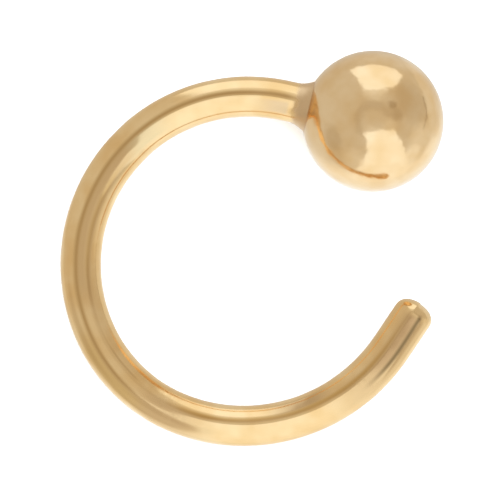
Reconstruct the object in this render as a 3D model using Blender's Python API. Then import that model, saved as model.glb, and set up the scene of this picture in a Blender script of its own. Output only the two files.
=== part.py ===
"""Ball hoop earring: an open hoop of round gold wire with a ball soldered to one end.

Metres, +Z up. The earring lies on its side on the plane z = 0, as it comes to rest by itself,
on its ball and on the wire across from the ball. The origin is on that plane, under the middle
of the part's box. Seen from above with +Y up, the ball is at the top right and the hoop opens
to the right.
"""

import math

import bmesh
import bpy
from mathutils import Matrix, Vector

MM = 0.001

# Driving dimensions
HOOP_RADIUS = 4.67 * MM  # mean radius of the hoop, to the middle of its wire
WIRE_DIAMETER = 1.15 * MM
BALL_DIAMETER = 4.0 * MM
FILLET_LENGTH = 0.46 * MM  # solder fillet, along the wire
FILLET_HEIGHT = 0.155 * MM  # solder fillet, out from the wire
NECK_LENGTH = 0.2 * MM  # straight wire between the fillet and the first bend
TIP_LENGTH = 1.08 * MM  # straight wire between the last bend and the nose
NOSE_LENGTH = 0.41 * MM  # the rounded free end
NOSE_FLAT = 0.3 * MM  # diameter of the flat at the very end of the nose

# The direction in which the wire leaves the ball, anticlockwise from +X seen from above
NECK_HEADING_DEG = 167.0

# The wire is bent by hand, so its curve is three arcs that run into each other without a kink.
# The radii are shares of HOOP_RADIUS.
BENDS = (
    {"turn_deg": 121.5, "radius": 1.017},
    {"turn_deg": 57.5, "radius": 0.956},
    {"turn_deg": 70.1, "radius": 1.078},
)

# Fineness of the faceted solid
BEND_STEP_DEG = 3.6
WIRE_SIDES = 28
BALL_RINGS = 26
NOSE_STEPS = 6
FILLET_STEPS = 6

# Steps of the search for the way in which the earring rests
TILT_SEARCH_STEPS = 1440

WIRE_RADIUS = WIRE_DIAMETER / 2
BALL_RADIUS = BALL_DIAMETER / 2
FILLET_RADIUS = WIRE_RADIUS + FILLET_HEIGHT

GOLD = {"name": "polished_gold", "colour": (0.93, 0.66, 0.33, 1.0), "roughness": 0.12}


def clear_scene():
    for obj in list(bpy.data.objects):
        bpy.data.objects.remove(obj, do_unlink=True)


def new_collection(name):
    collection = bpy.data.collections.new(name)
    bpy.context.scene.collection.children.link(collection)
    return collection


def gold_material():
    material = bpy.data.materials.new(GOLD["name"])
    material.use_nodes = True
    shader = material.node_tree.nodes["Principled BSDF"]
    shader.inputs["Base Color"].default_value = GOLD["colour"]
    shader.inputs["Metallic"].default_value = 1.0
    shader.inputs["Roughness"].default_value = GOLD["roughness"]
    material.diffuse_color = GOLD["colour"]
    return material


def heading_vector(degrees):
    return Vector((math.cos(math.radians(degrees)), math.sin(math.radians(degrees)), 0))


def neck_stations():
    """(distance from the ball's centre, wire radius) through the solder fillet to the first bend.

    The fillet grows with the square of the way along it and ends on the ball's surface. One
    more station, as wide, lies inside the ball, so that the wire and the ball join.
    """
    seat = math.sqrt(BALL_RADIUS**2 - FILLET_RADIUS**2)
    stations = [(seat / 2, FILLET_RADIUS)]
    for step in range(FILLET_STEPS + 1):
        share = step / FILLET_STEPS
        height = FILLET_HEIGHT * (1 - share) ** 2
        stations.append((seat + FILLET_LENGTH * share, WIRE_RADIUS + height))
    stations.append((seat + FILLET_LENGTH + NECK_LENGTH, WIRE_RADIUS))
    return stations


def nose_stations():
    """(distance before the end of the wire, wire radius) through the rounded free end.

    The nose is a quarter of an ellipse that stops at a small flat.
    """
    last = math.acos(NOSE_FLAT / WIRE_DIAMETER)
    reach = NOSE_LENGTH / math.sin(last)
    stations = []
    for step in range(NOSE_STEPS + 1):
        angle = last * step / NOSE_STEPS
        stations.append(
            (NOSE_LENGTH - reach * math.sin(angle), WIRE_RADIUS * math.cos(angle))
        )
    return stations


def wire_stations():
    """The wire as (point of its middle line, radius), from inside the ball to the free end.

    The points are in the hoop's own plane, with the ball's centre at (0, 0, 0).
    """
    heading = NECK_HEADING_DEG
    stations = [
        (heading_vector(heading) * along, radius) for along, radius in neck_stations()
    ]
    corner = stations[-1][0]
    for bend in BENDS:
        radius = HOOP_RADIUS * bend["radius"]
        centre = corner + heading_vector(heading + 90) * radius
        steps = math.ceil(bend["turn_deg"] / BEND_STEP_DEG)
        for step in range(1, steps + 1):
            turned = heading + bend["turn_deg"] * step / steps
            stations.append((centre - heading_vector(turned + 90) * radius, WIRE_RADIUS))
        heading += bend["turn_deg"]
        corner = stations[-1][0]
    end = corner + heading_vector(heading) * (TIP_LENGTH + NOSE_LENGTH)
    for back, radius in nose_stations():
        stations.append((end - heading_vector(heading) * back, radius))
    return stations


def centre_of_mass(stations):
    """The middle of the mass of the ball and of the wire outside it, in the hoop's own plane."""
    mass = 4 / 3 * math.pi * BALL_RADIUS**3
    moment = Vector((0, 0, 0))
    for (a, radius_a), (b, radius_b) in zip(stations, stations[1:]):
        if (a + b).length / 2 < BALL_RADIUS:
            continue
        volume = math.pi * ((radius_a + radius_b) / 2) ** 2 * (b - a).length
        moment += (a + b) / 2 * volume
        mass += volume
    return moment / mass


def resting_tilt(stations):
    """The rotation that lays the flat hoop on a surface as it comes to rest there.

    The ball is thicker than the wire, so the hoop leans: it touches at the ball and at the
    point of the wire that is furthest downhill. Of all the ways downhill, the earring takes
    the one that puts its mass lowest.
    """
    middle = centre_of_mass(stations)
    lift = BALL_RADIUS - WIRE_RADIUS
    best = None
    for step in range(TILT_SEARCH_STEPS):
        downhill = heading_vector(360 * step / TILT_SEARCH_STEPS)
        reach = max(point.dot(downhill) for point, _ in stations)
        if reach <= lift:
            continue
        slope = lift / reach
        height = slope * (reach - middle.dot(downhill))
        if best is None or height < best[0]:
            best = (height, downhill, math.asin(slope))
    _, downhill, angle = best
    return Matrix.Rotation(angle, 4, Vector((0, 0, 1)).cross(downhill))


def wire_mesh(stations):
    """A closed mesh of the wire: a bevelled curve whose points carry the wire's radius."""
    curve = bpy.data.curves.new("wire_curve", "CURVE")
    curve.dimensions = "3D"
    curve.bevel_depth = WIRE_RADIUS
    curve.bevel_resolution = WIRE_SIDES // 2 - 2
    curve.use_fill_caps = True
    spline = curve.splines.new("POLY")
    spline.points.add(len(stations) - 1)
    for point, (place, radius) in zip(spline.points, stations):
        point.co = (*place, 1)
        point.radius = radius / WIRE_RADIUS
    guide = bpy.data.objects.new("wire_curve", curve)
    bpy.context.scene.collection.objects.link(guide)
    bpy.context.view_layer.update()
    graph = bpy.context.evaluated_depsgraph_get()
    mesh = bpy.data.meshes.new_from_object(guide.evaluated_get(graph))
    bpy.data.objects.remove(guide, do_unlink=True)

    shape = bmesh.new()
    shape.from_mesh(mesh)
    bmesh.ops.remove_doubles(shape, verts=shape.verts, dist=1e-6)
    bmesh.ops.recalc_face_normals(shape, faces=shape.faces)
    shape.to_mesh(mesh)
    shape.free()
    return mesh


def ball_mesh():
    """The ball, with its poles on the wire's axis so that its facets meet the wire's."""
    mesh = bpy.data.meshes.new("ball")
    shape = bmesh.new()
    bmesh.ops.create_uvsphere(
        shape, u_segments=WIRE_SIDES, v_segments=BALL_RINGS, radius=BALL_RADIUS
    )
    along_wire = heading_vector(NECK_HEADING_DEG).to_track_quat("Z", "X").to_matrix()
    bmesh.ops.transform(shape, matrix=along_wire.to_4x4(), verts=shape.verts)
    shape.to_mesh(mesh)
    shape.free()
    return mesh


def solder(wire, ball):
    joint = wire.modifiers.new("solder_ball", "BOOLEAN")
    joint.operation = "UNION"
    joint.solver = "EXACT"
    joint.object = ball


def set_down(obj, tilt):
    """Lays the object on z = 0 with the middle of its box over the origin."""
    obj.matrix_world = tilt
    bpy.context.view_layer.update()
    shaped = obj.evaluated_get(bpy.context.evaluated_depsgraph_get())
    corners = [shaped.matrix_world @ vertex.co for vertex in shaped.data.vertices]
    low = [min(corner[axis] for corner in corners) for axis in range(3)]
    high = [max(corner[axis] for corner in corners) for axis in range(3)]
    middle = Vector(((low[0] + high[0]) / 2, (low[1] + high[1]) / 2, low[2]))
    obj.matrix_world = Matrix.Translation(-middle) @ tilt


def build():
    clear_scene()
    part = new_collection("ball_hoop_earring")
    tools = new_collection("joined_shapes")
    gold = gold_material()
    stations = wire_stations()

    hoop = bpy.data.objects.new("ball_hoop", wire_mesh(stations))
    hoop.data.materials.clear()
    hoop.data.materials.append(gold)
    part.objects.link(hoop)

    ball = bpy.data.objects.new("ball", ball_mesh())
    ball.data.materials.append(gold)
    ball.hide_render = True
    ball.display_type = "WIRE"
    ball.parent = hoop
    tools.objects.link(ball)

    solder(hoop, ball)
    set_down(hoop, resting_tilt(stations))
    hoop.data.shade_smooth()


build()
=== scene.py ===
import math
from functools import partial

import bmesh
import bpy
from mathutils import Matrix, Vector, noise


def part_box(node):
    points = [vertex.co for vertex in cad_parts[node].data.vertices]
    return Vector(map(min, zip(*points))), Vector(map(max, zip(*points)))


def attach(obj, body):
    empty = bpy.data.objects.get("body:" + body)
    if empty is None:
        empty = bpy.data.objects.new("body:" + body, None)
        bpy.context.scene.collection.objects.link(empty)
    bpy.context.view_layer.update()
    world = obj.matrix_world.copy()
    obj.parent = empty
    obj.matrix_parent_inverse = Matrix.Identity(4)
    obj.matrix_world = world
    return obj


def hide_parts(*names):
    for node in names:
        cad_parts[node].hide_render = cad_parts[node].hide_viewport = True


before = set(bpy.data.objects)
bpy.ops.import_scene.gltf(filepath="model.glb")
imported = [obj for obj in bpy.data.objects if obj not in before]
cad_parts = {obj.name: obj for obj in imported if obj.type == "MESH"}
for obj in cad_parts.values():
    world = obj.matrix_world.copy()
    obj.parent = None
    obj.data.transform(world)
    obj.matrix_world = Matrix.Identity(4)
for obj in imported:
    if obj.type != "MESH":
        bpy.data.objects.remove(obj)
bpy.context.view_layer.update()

mm = 0.001

# the earring, in mm and degrees; the wire leaves the ball, goes round in three bends and ends in a nose
earring = {
    "ballDiameter": 4.0,
    "wireDiameter": 1.15,
    "filletLength": 0.46,       # solder run along the wire
    "filletHeight": 0.155,
    "filletCurve": 1.8,         # how fast the solder thins out
    "neckLength": 0.2,          # straight wire before the first bend
    "neckHeading": 167.0,       # anticlockwise from +X
    "hoopRadius": 4.67,
    "bends": ((121.5, 1.017), (57.5, 0.956), (70.1, 1.078)),  # turn, share of the hoop radius
    "tipLength": 1.08,
    "noseLength": 0.41,
    "noseBluntness": 2.25,      # 2 is an ellipse, more is squarer
    "lean": 8.1446,             # the hoop leans on its ball
    "downhill": 221.75,
    "handWaves": ((1.5, 0.003), (0.45, 0.0026)),  # length and height of what hand polishing leaves
    # a soft lengthwise ridge on top of the wire, from and to these degrees round from the top. It starts
    # this far from the end of the solder, fades half way round and comes back turned to the inside
    "ridge": {"height": 0.033, "from": -14, "to": 7, "startsAt": (-0.5, -0.2),
              "fadesAt": (6.9, 7.4), "returnsAt": (15.4, 17.0)},
    # fineness of the mesh
    "sides": 112,
    "ballSteps": 84,
    "wireStep": 0.09,
    "filletSteps": 10,
    "noseSteps": 14,
    "mergeWithin": 0.0005,
}


def heading(degrees):
    # direction in the hoop's own plane
    return Vector((math.cos(math.radians(degrees)), math.sin(math.radians(degrees)), 0))


def smoothStep(low, high, value):
    # 0 up to the low limit, 1 past the high one, smooth between them
    share = min(max((value - low) / (high - low), 0), 1)
    return share * share * (3 - 2 * share)


def leanMatrix():
    # tips the hoop's plane as it rests on the ball and on the wire across from it
    downhill = heading(earring["downhill"])
    return Matrix.Rotation(math.radians(earring["lean"]), 4, Vector((0, 0, 1)).cross(downhill))


def ballCentre():
    low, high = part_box("ball_hoop")
    radius = earring["ballDiameter"] / 2 * mm
    return Vector((high.x - radius, high.y - radius, low.z + radius))


def drawTo(bm, vert, x, y):
    # carries the profile on to the next point
    made = bmesh.ops.extrude_vert_indiv(bm, verts=[vert])["verts"][0]
    made.co = (x * mm, y * mm, 0)
    return made


def solderSeat():
    # where the solder meets the ball: distance from the ball's centre, and radius there
    root = earring["wireDiameter"] / 2 + earring["filletHeight"]
    return math.sqrt((earring["ballDiameter"] / 2) ** 2 - root**2), root


def wireCourse():
    # (length, radius) of the straight neck, of each bend and of the tip, from the ball's centre
    radius = earring["hoopRadius"]
    course = [(solderSeat()[0] + earring["filletLength"] + earring["neckLength"], 0)]
    course += [(math.radians(turn) * radius * share, radius * share) for turn, share in earring["bends"]]
    course.append((earring["tipLength"] + earring["noseLength"], 0))
    return course


def drawProfile(bm):
    # half the outline of the straight earring: ball, solder, wire, nose
    seat, root = solderSeat()
    ballRadius, wireRadius = earring["ballDiameter"] / 2, earring["wireDiameter"] / 2
    last = bm.verts.new((-ballRadius * mm, 0, 0))
    seatAngle = math.asin(root / ballRadius)
    for step in range(1, earring["ballSteps"] + 1):
        turned = (math.pi - seatAngle) * step / earring["ballSteps"]
        last = drawTo(bm, last, -ballRadius * math.cos(turned), ballRadius * math.sin(turned))
    crease = last
    for step in range(1, earring["filletSteps"] + 1):
        share = step / earring["filletSteps"]
        height = earring["filletHeight"] * (1 - share) ** earring["filletCurve"]
        last = drawTo(bm, last, seat + earring["filletLength"] * share, wireRadius + height)
    start = seat + earring["filletLength"]
    end = sum(length for length, _ in wireCourse())
    noseStart = end - earring["noseLength"]
    steps = round((noseStart - start) / earring["wireStep"])
    for step in range(1, steps + 1):
        last = drawTo(bm, last, start + (noseStart - start) * step / steps, wireRadius)
    power = 2 / earring["noseBluntness"]
    for step in range(1, earring["noseSteps"]):
        angle = math.pi / 2 * step / earring["noseSteps"]
        last = drawTo(bm, last, noseStart + earring["noseLength"] * math.sin(angle) ** power,
                      wireRadius * math.cos(angle) ** power)
    drawTo(bm, last, end, 0)
    return crease.co.x


def bentPlace(course, co):
    # where a point of the straight wire goes when the wire is bent
    turned, middle, left = earring["neckHeading"], Vector((0, 0, 0)), co.x / mm
    for length, radius in course[:-1] + [(math.inf, 0)]:  # nothing stops at the tip's end
        run = min(left, length)
        if radius:
            centre = middle + heading(turned + 90) * radius
            turned += math.degrees(run / radius)
            middle = centre - heading(turned + 90) * radius
        else:
            middle += heading(turned) * run
        left -= run
        if not left:
            break
    return middle * mm + heading(turned + 90) * co.y + Vector((0, 0, co.z))


def ridgeAt(co):
    # height of the ridge at a point of the straight wire
    ridge = earring["ridge"]
    along = co.x / mm
    solderEnd = earring["ballDiameter"] / 2 + earring["filletLength"]
    side = 1 - smoothStep(*ridge["fadesAt"], along) - smoothStep(*ridge["returnsAt"], along)
    strength = abs(side) * smoothStep(*(solderEnd + far for far in ridge["startsAt"]), along)
    if not strength:
        return 0
    outward = math.degrees(math.atan2(-co.y, co.z)) * (1 if side > 0 else -1)
    if ridge["from"] <= outward <= ridge["to"]:
        share = ((outward - ridge["from"]) / (ridge["to"] - ridge["from"])) ** 2
    else:
        share = 1 - ((outward - ridge["to"]) % 360) / (360 - ridge["to"] + ridge["from"])
    return (share - 0.5) * ridge["height"] * strength * mm


def makeEarring(material):
    bm = bmesh.new()
    crease = drawProfile(bm)
    bmesh.ops.spin(
        bm, geom=bm.verts[:] + bm.edges[:], cent=(0, 0, 0), axis=(1, 0, 0), dvec=(0, 0, 0),
        angle=math.tau, steps=earring["sides"], use_merge=True, use_duplicate=False,
    )
    merge = earring["mergeWithin"] * mm
    bmesh.ops.remove_doubles(bm, verts=bm.verts, dist=merge)
    bmesh.ops.recalc_face_normals(bm, faces=bm.faces)
    bm.normal_update()

    for face in bm.faces:
        face.smooth = True
    for edge in bm.edges:
        edge.smooth = any(abs(vert.co.x - crease) > merge for vert in edge.verts)

    # the place on the straight wire stays as an attribute, so that patterns, rubbed places and the painted
    # shade follow the wire
    straight = bm.verts.layers.float_vector.new("straightWire")
    lift = {}
    for vert in bm.verts:
        vert[straight] = vert.co
        waves = sum(noise.noise(vert.co / mm / length) * height for length, height in earring["handWaves"])
        lift[vert] = vert.normal * (waves * mm + ridgeAt(vert.co))
    course = wireCourse()
    for vert in bm.verts:
        vert.co = bentPlace(course, vert.co + lift[vert])

    mesh = bpy.data.meshes.new("ballHoop")
    bm.to_mesh(mesh)
    bm.free()
    mesh.transform(Matrix.Translation(ballCentre()) @ leanMatrix())
    mesh.materials.append(material)
    piece = bpy.data.objects.new("ballHoop", mesh)
    bpy.context.scene.collection.objects.link(piece)
    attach(piece, "root")
    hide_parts("ball_hoop")
    print("earring:", len(mesh.polygons), "faces")


def hexColour(code):
    # sRGB hex to the linear colour that a shader takes
    parts = [int(code[i:i + 2], 16) / 255 for i in (1, 3, 5)]
    return tuple(p / 12.92 if p <= 0.04045 else ((p + 0.055) / 1.055) ** 2.4 for p in parts) + (1,)


def addNode(tree, kind, inputs=None, output=0, **settings):
    # adds a node with its settings, values and links, and gives one of its outputs
    made = tree.nodes.new("ShaderNode" + kind)
    for name, value in settings.items():
        setattr(made, name, value)
    for name, value in (inputs or {}).items():
        if isinstance(value, bpy.types.NodeSocket):
            tree.links.new(value, made.inputs[name])
        else:
            made.inputs[name].default_value = value
    return made.outputs[output] if made.outputs else None


def emptyMaterial(name):
    # a material with no nodes yet, and what adds them
    material = bpy.data.materials.new(name)
    material.use_nodes = True
    material.node_tree.nodes.clear()
    return material, partial(addNode, material.node_tree)


# sizes in mm. A pattern may be stretched along the wire, and more detail makes it finer grained
gold = {
    "ball": ("#F9D9AB", "#EFC78F"),     # lighter and deeper stains
    "wire": ("#F9D6A0", "#EFC486"),
    "solder": "#DEBB8F",
    "stains": {"size": 0.9},
    "stainLimits": (0.25, 0.75),
    "ballRoughness": 0.13,
    "wireRoughness": 0.15,
    "solderRoughness": 0.37,
    "solderGrain": (0.12, 0.16),    # size, and how far it changes the roughness
    "solderStart": (-0.05, 0.0),    # from the crease on the ball
    "solderEnd": (-0.22, 0.02),     # where the wire comes out of the solder, from the end of the fillet
    "endWander": (0.3, 0.35),       # size and reach
    "clouds": (0.6, 0.06),          # size, and how far they change the roughness
    "peel": {"size": 0.3, "detail": 1.0},
    "peelDepth": (0.008, 0.001),    # on the ball, on the wire
    "drawnLines": {"size": 0.045, "stretch": 40.0, "detail": 1.0},  # real die lines, 0.01, wouldn't show
    "drawnDepth": 0.00035,
    # painted shade: darker lines and shades along the wire, put where its reflections look darker: degrees
    # round from its top, outwards; how far round they are full and where they end; where they begin and end
    # along the wire;
    # colour; how broken they are
    "paintedShades": (
        (-22, (12, 26), (2.38, 2.5), (2.7, 3.7), "#E6C394", 0.0),
        (-12, (14, 34), (5.6, 6.8), (8.2, 9.0), "#E9CB99", 0.0),
        (34, (8, 24), (12.4, 13.8), (15.2, 16.8), "#EBC484", 0.3),
        (-9, (14, 28), (7.0, 7.7), (11.4, 12.8), "#E1BB86", 0.2),
        (13, (0, 12.5), (2.2, 2.6), (14.2, 16.2), "#D5AD73", 0.5),
        (-21, (0, 12), (7.6, 8.6), (10.8, 12.4), "#D5AD73", 0.5),
        (25, (30, 50), (14.8, 15.8), (16.4, 17.8), "#E4BE89", 0.0),
        (-38, (10, 24), (18.6, 20.0), (20.2, 21.4), "#CFAA79", 0.0),
        (12, (22, 52), (20.4, 21.9), (24.2, 24.4), "#E1BB86", 0.0),
        (4, (5, 20), (21.8, 23.0), (24.2, 24.4), "#C69F70", 0.0),
        (-17, (0, 11), (15.6, 17.2), (22.6, 24.4), "#D7AA66", 0.3),
        (19.5, (0.5, 11), (21.7, 22.9), (24.3, 24.5), "#8C704A", 0.0),
    ),
    "paintedShadeWander": (2.2, 9.0),       # size, degrees
    "breaks": {"size": 1.6, "stretch": 3.0},
    "breakLimits": (0.2, 0.55),
    "rubbedAt": ((16.0, 0.1, 0.9), (22.0, 0.1, 0.7)),   # places handled most: middle, full to, ends at
    "rubbedRoughness": 0.15,        # more than the wire's own
    "rubbedStreaks": {"size": 0.3, "stretch": 0.6, "detail": 3.0},
    "rubbedLimits": (0.35, 0.8),
}


def polishedYellowGold():
    # 14 ct yellow gold alloy, drawn to wire and polished by hand: mirror bright, with pale yellow
    # highlights, warm tan elsewhere, fine lines along the wire, painted shade along it and a few rubbed
    # places
    material, add = emptyMaterial("polishedYellowGold")
    straight = add("Attribute", output="Vector", attribute_name="straightWire")
    place = add("SeparateXYZ", {"Vector": straight}).node.outputs
    along = add("Math", {0: place["X"], 1: mm}, operation="DIVIDE")

    def between(value, low, high, before=0.0, after=1.0):
        # goes smoothly from one value to the other between the two limits
        return add("MapRange", {"Value": value, "From Min": low, "From Max": high, "To Min": before,
                                "To Max": after}, interpolation_type="SMOOTHSTEP")

    def around(value, middle, full, end):
        # 1 close to the middle, 0 past the end
        off = add("Math", {0: value, 1: middle}, operation="SUBTRACT")
        return between(add("Math", {0: off}, operation="ABSOLUTE"), full, end, 1.0, 0.0)

    def pattern(size, stretch=1.0, detail=2.0):
        # cloudy pattern of this size, drawn out along the wire
        spots = add("Mapping", {"Vector": straight, "Scale": Vector((1 / stretch, 1, 1)) / (size * mm)})
        return add("TexNoise", {"Vector": spots, "Scale": 1.0, "Detail": detail})

    def wander(value, size, reach):
        # the value, drifting by half this reach to either side
        drift = add("Math", {0: pattern(size, detail=1.0), 1: reach, 2: -reach / 2}, operation="MULTIPLY_ADD")
        return add("Math", {0: value, 1: drift}, operation="ADD")

    crease = solderSeat()[0]
    solderEnd = crease + earring["filletLength"]
    onWire = between(wander(along, *gold["endWander"]), *(solderEnd + far for far in gold["solderEnd"]))
    onSolder = add("Math", {
        0: between(along, *(crease + far for far in gold["solderStart"])),
        1: add("Math", {0: 1.0, 1: onWire}, operation="SUBTRACT"),
    }, operation="MULTIPLY")

    # degrees from the top of the wire towards the outside
    inward = add("Math", {0: place["Y"], 1: -1.0}, operation="MULTIPLY")
    angle = add("Math", {0: inward, 1: place["Z"]}, operation="ARCTAN2")
    angle = wander(add("Math", {0: angle}, operation="DEGREES"), *gold["paintedShadeWander"])

    stain = between(pattern(**gold["stains"]), *gold["stainLimits"])
    ball, wire = (
        add("Mix", {"Factor": stain, "A": hexColour(gold[name][0]), "B": hexColour(gold[name][1])},
            "Result", data_type="RGBA") for name in ("ball", "wire")
    )
    whole = between(pattern(**gold["breaks"]), *gold["breakLimits"])
    layers = [(onWire, wire)]
    # painted shade: each darker line or shade is mixed into the colour along the wire
    for middle, reach, start, end, code, broken in gold["paintedShades"]:
        kept = add("Math", {0: whole, 1: 1.0 - broken}, operation="MAXIMUM")
        share = around(angle, middle, *reach)
        for factor in (between(along, *start), between(along, *end, 1.0, 0.0), kept):
            share = add("Math", {0: share, 1: factor}, operation="MULTIPLY")
        layers.append((share, hexColour(code)))
    layers.append((onSolder, hexColour(gold["solder"])))
    colour = ball
    for share, shade in layers:
        colour = add("Mix", {"Factor": share, "A": colour, "B": shade}, "Result", data_type="RGBA")

    rubbed = 0.0
    for spot in gold["rubbedAt"]:
        rubbed = add("Math", {0: rubbed, 1: around(along, *spot)}, operation="MAXIMUM")
    streaks = between(pattern(**gold["rubbedStreaks"]), *gold["rubbedLimits"])
    rubbed = add("Math", {0: rubbed, 1: streaks}, operation="MULTIPLY")
    grain = wander(gold["solderRoughness"] - gold["ballRoughness"], *gold["solderGrain"])
    roughness = add("MapRange", {"Value": onWire, "To Min": gold["ballRoughness"],
                                 "To Max": gold["wireRoughness"]})
    for share, more in ((rubbed, gold["rubbedRoughness"]), (onSolder, grain)):
        roughness = add("Math", {0: share, 1: more, 2: roughness}, operation="MULTIPLY_ADD")
    roughness = wander(roughness, *gold["clouds"])

    # the ball is slightly uneven from polishing, the wire has fine lines along it
    depth = add("MapRange", {"Value": onWire, "To Min": gold["peelDepth"][0], "To Max": gold["peelDepth"][1]})
    peel = add("Math", {0: pattern(**gold["peel"]), 1: depth}, operation="MULTIPLY")
    drawn = add("Math", {0: pattern(**gold["drawnLines"]), 1: onWire}, operation="MULTIPLY")
    normal = add("Bump", {"Height": peel, "Strength": 1.0, "Distance": mm})
    normal = add("Bump", {"Height": drawn, "Strength": 1.0, "Distance": gold["drawnDepth"] * mm,
                          "Normal": normal})
    shader = add("BsdfPrincipled", {"Base Color": colour, "Metallic": 1.0, "Roughness": roughness,
                                    "Normal": normal})
    add("OutputMaterial", {"Surface": shader})
    return material


card = {"halfWidth": 6000, "colour": "#F4F3F1", "roughness": 0.8, "specular": 0.2}  # its edge never shows


def whiteCard():
    # matt white card, which gives a plain soft white
    material, add = emptyMaterial("whiteCard")
    shader = add("BsdfPrincipled", {
        "Base Color": hexColour(card["colour"]), "Roughness": card["roughness"],
        "Specular IOR Level": card["specular"],
    })
    add("OutputMaterial", {"Surface": shader})
    return material


def makeFloor():
    bm = bmesh.new()
    bmesh.ops.create_grid(bm, x_segments=1, y_segments=1, size=card["halfWidth"] * mm)
    mesh = bpy.data.meshes.new("floor")
    bm.to_mesh(mesh)
    bm.free()
    mesh.materials.append(whiteCard())
    floor = bpy.data.objects.new("floor", mesh)
    bpy.context.scene.collection.objects.link(floor)
    floor.visible_glossy = floor.visible_shadow = False  # the metal mirrors the studio below it as well
    print("floor: white card")


# the studio as the metal mirrors it. A direction is its azimuth, from the picture's right anticlockwise,
# and its angle off the camera's axis, in degrees
studio = {
    "overhead": {"height": 700, "size": 700, "watts": 10.5},  # mm; for the card, the metal doesn't mirror it
    "backdrop": 0.93,           # what the camera sees behind the floor
    "walls": 0.66,
    "tint": {"Red": (0.945, 0.83), "Green": (1.0, 1.0), "Blue": (1.04, 1.24)},  # warm shade, cool lamps
    # soft patches of light and shade: middle, where the patch is full, where it ends, brightness
    "patches": (
        ("tableBack", 80, 128, 10, 30, 0.72),
        ("tableLeft", 212, 138, 31, 36, 0.78),
        ("tableRight", 8, 136, 33, 38, 0.80),
        ("tableFront", 285, 132, 36, 60, 1.12),
        ("leftGlow", 246, 75, 5, 24, 0.78),
        ("rightGlow", 335, 92, 10, 30, 0.83),
        ("frontGlow", 318, 92, 4, 18, 1.02),
        ("rightScreen", 28, 74, 14, 36, 0.57),
        ("leftCard", 203, 78, 6, 22, 0.55),
        ("lensRim", 95, 0, 28, 36, 0.57),
        ("lensFront", 300, 2, 14, 26, 0.67),
        ("boxGlow", 88, 56, 4, 24, 0.88),
        ("cornerGlow", 245, 18, 2, 12, 0.74),
        ("sideGlow", 345, 28, 3, 16, 0.76),
        ("lensSide", 14, 40, 2, 13, 0.51),
        ("lensHood", 39, 40.7, 0, 9.5, 0.43),
    ),
    # white panels with flat sides: corners in order round the panel, softness of the sides, brightness
    "panels": (
        ("upperBox", ((113, 105), (57.9, 102.1), (58, 65), (79, 52.8), (106.5, 54)), 2.0, 1.22),
        ("tableShine", ((256, 67), (314, 80), (306, 116), (246, 116)), 8.0, 1.2),
        ("lowerBox", ((249, 19.7), (278, 16.2), (328.7, 26.5), (334.8, 38.4), (314, 88), (257, 76)),
         2.5, 1.22),
        ("boxCorner", ((232, 26), (250, 18.5), (268, 30), (259, 41)), 2.5, 1.22),
        ("farEdge", ((352, 90.9), (26.5, 101.3), (26.5, 103.3), (352, 92.7)), 0.6, 0.25),
    ),
}


def towards(azimuth, off):
    # from the ball, in the frame's own axes
    aside = math.sin(math.radians(off))
    return leanMatrix() @ (heading(azimuth) * aside + Vector((0, 0, math.cos(math.radians(off)))))


def makeLamp():
    plan = studio["overhead"]
    lamp = bpy.data.lights.new("overhead", "AREA")
    lamp.shape = "SQUARE"
    lamp.size = plan["size"] * mm
    lamp.energy = plan["watts"]
    holder = bpy.data.objects.new("overhead", lamp)
    holder.location.z = plan["height"] * mm
    holder.visible_camera = holder.visible_glossy = False
    bpy.context.scene.collection.objects.link(holder)
    print("lamp: overhead")


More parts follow.
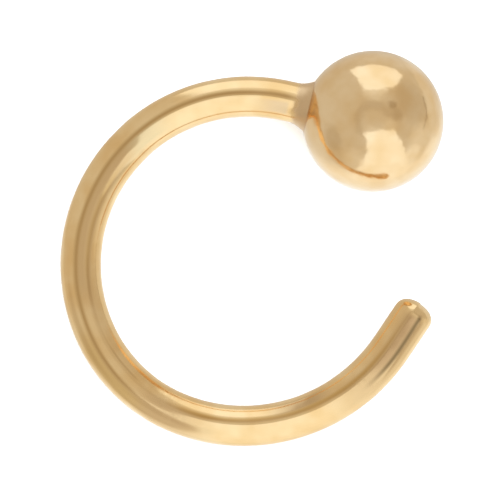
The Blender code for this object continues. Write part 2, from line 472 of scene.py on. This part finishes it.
def makeWorld():
    # white walls, cards and light panels all round, and the table below
    world = bpy.data.worlds.new("studio")
    world.use_nodes = True
    world.node_tree.nodes.clear()
    add = partial(addNode, world.node_tree)
    direction = add("TexCoord", output="Generated")

    def beyond(axis, low, high, label):
        # 0 to 1 as the direction comes closer to the axis
        near = add("VectorMath", {0: direction, 1: axis}, "Value", operation="DOT_PRODUCT", label=label)
        return add("MapRange", {"Value": near, "From Min": low, "From Max": high},
                   interpolation_type="SMOOTHSTEP")

    level = studio["walls"]
    for name, azimuth, off, full, end, brightness in studio["patches"]:
        low, high = math.cos(math.radians(end)), math.cos(math.radians(full))
        share = beyond(towards(azimuth, off), low, high, name)
        level = add("Mix", {"Factor": share, "A": level, "B": brightness})
    for name, corners, softness, brightness in studio["panels"]:
        spots = [towards(azimuth, off) for azimuth, off in corners]
        middle = sum(spots, Vector())
        soft = math.sin(math.radians(softness)) / 2
        share = 1.0
        for spot, following in zip(spots, spots[1:] + spots[:1]):
            side = spot.cross(following).normalized()
            side *= math.copysign(1, side.dot(middle))
            share = add("Math", {0: share, 1: beyond(side, -soft, soft, name)}, operation="MULTIPLY")
        level = add("Mix", {"Factor": share, "A": level, "B": brightness})
    channels = {}
    for channel, (factor, power) in studio["tint"].items():
        raised = add("Math", {0: level, 1: power}, operation="POWER")
        channels[channel] = add("Math", {0: raised, 1: factor}, operation="MULTIPLY")
    walls = add("Background", {"Color": add("CombineColor", channels)})
    backdrop = add("Background", {"Color": (studio["backdrop"],) * 3 + (1,)})
    fromCamera = add("LightPath", output="Is Camera Ray")
    add("OutputWorld", {"Surface": add("MixShader", {0: fromCamera, 1: walls, 2: backdrop})})
    bpy.context.scene.world = world
    print("studio:", len(studio["patches"]), "patches and", len(studio["panels"]), "panels")


# the camera looks square onto the hoop; the ball stands at this pixel of the square picture. In mm
shot = {"ballAt": (373.1, 121.25), "pixelsPerMm": 35.325, "picture": 500, "distance": 200, "sensor": 36,
        "nearest": 1, "farthest": 50000}


def makeCamera():
    data = bpy.data.cameras.new("camera")
    data.sensor_width = shot["sensor"]
    data.lens = shot["sensor"] * shot["distance"] * shot["pixelsPerMm"] / shot["picture"]
    data.clip_start, data.clip_end = shot["nearest"] * mm, shot["farthest"] * mm
    camera = bpy.data.objects.new("camera", data)
    right = (shot["picture"] / 2 - shot["ballAt"][0]) / shot["pixelsPerMm"]
    up = (shot["ballAt"][1] - shot["picture"] / 2) / shot["pixelsPerMm"]
    place = Matrix.Translation(Vector((right, up, shot["distance"])) * mm)
    camera.matrix_world = Matrix.Translation(ballCentre()) @ leanMatrix() @ place
    bpy.context.scene.collection.objects.link(camera)
    bpy.context.scene.camera = camera
    print("camera: square onto the hoop")


makeEarring(polishedYellowGold())
makeFloor()
makeLamp()
makeWorld()
makeCamera()
bpy.context.scene.view_settings.view_transform = "Standard"
bpy.context.scene.view_settings.look = "None"
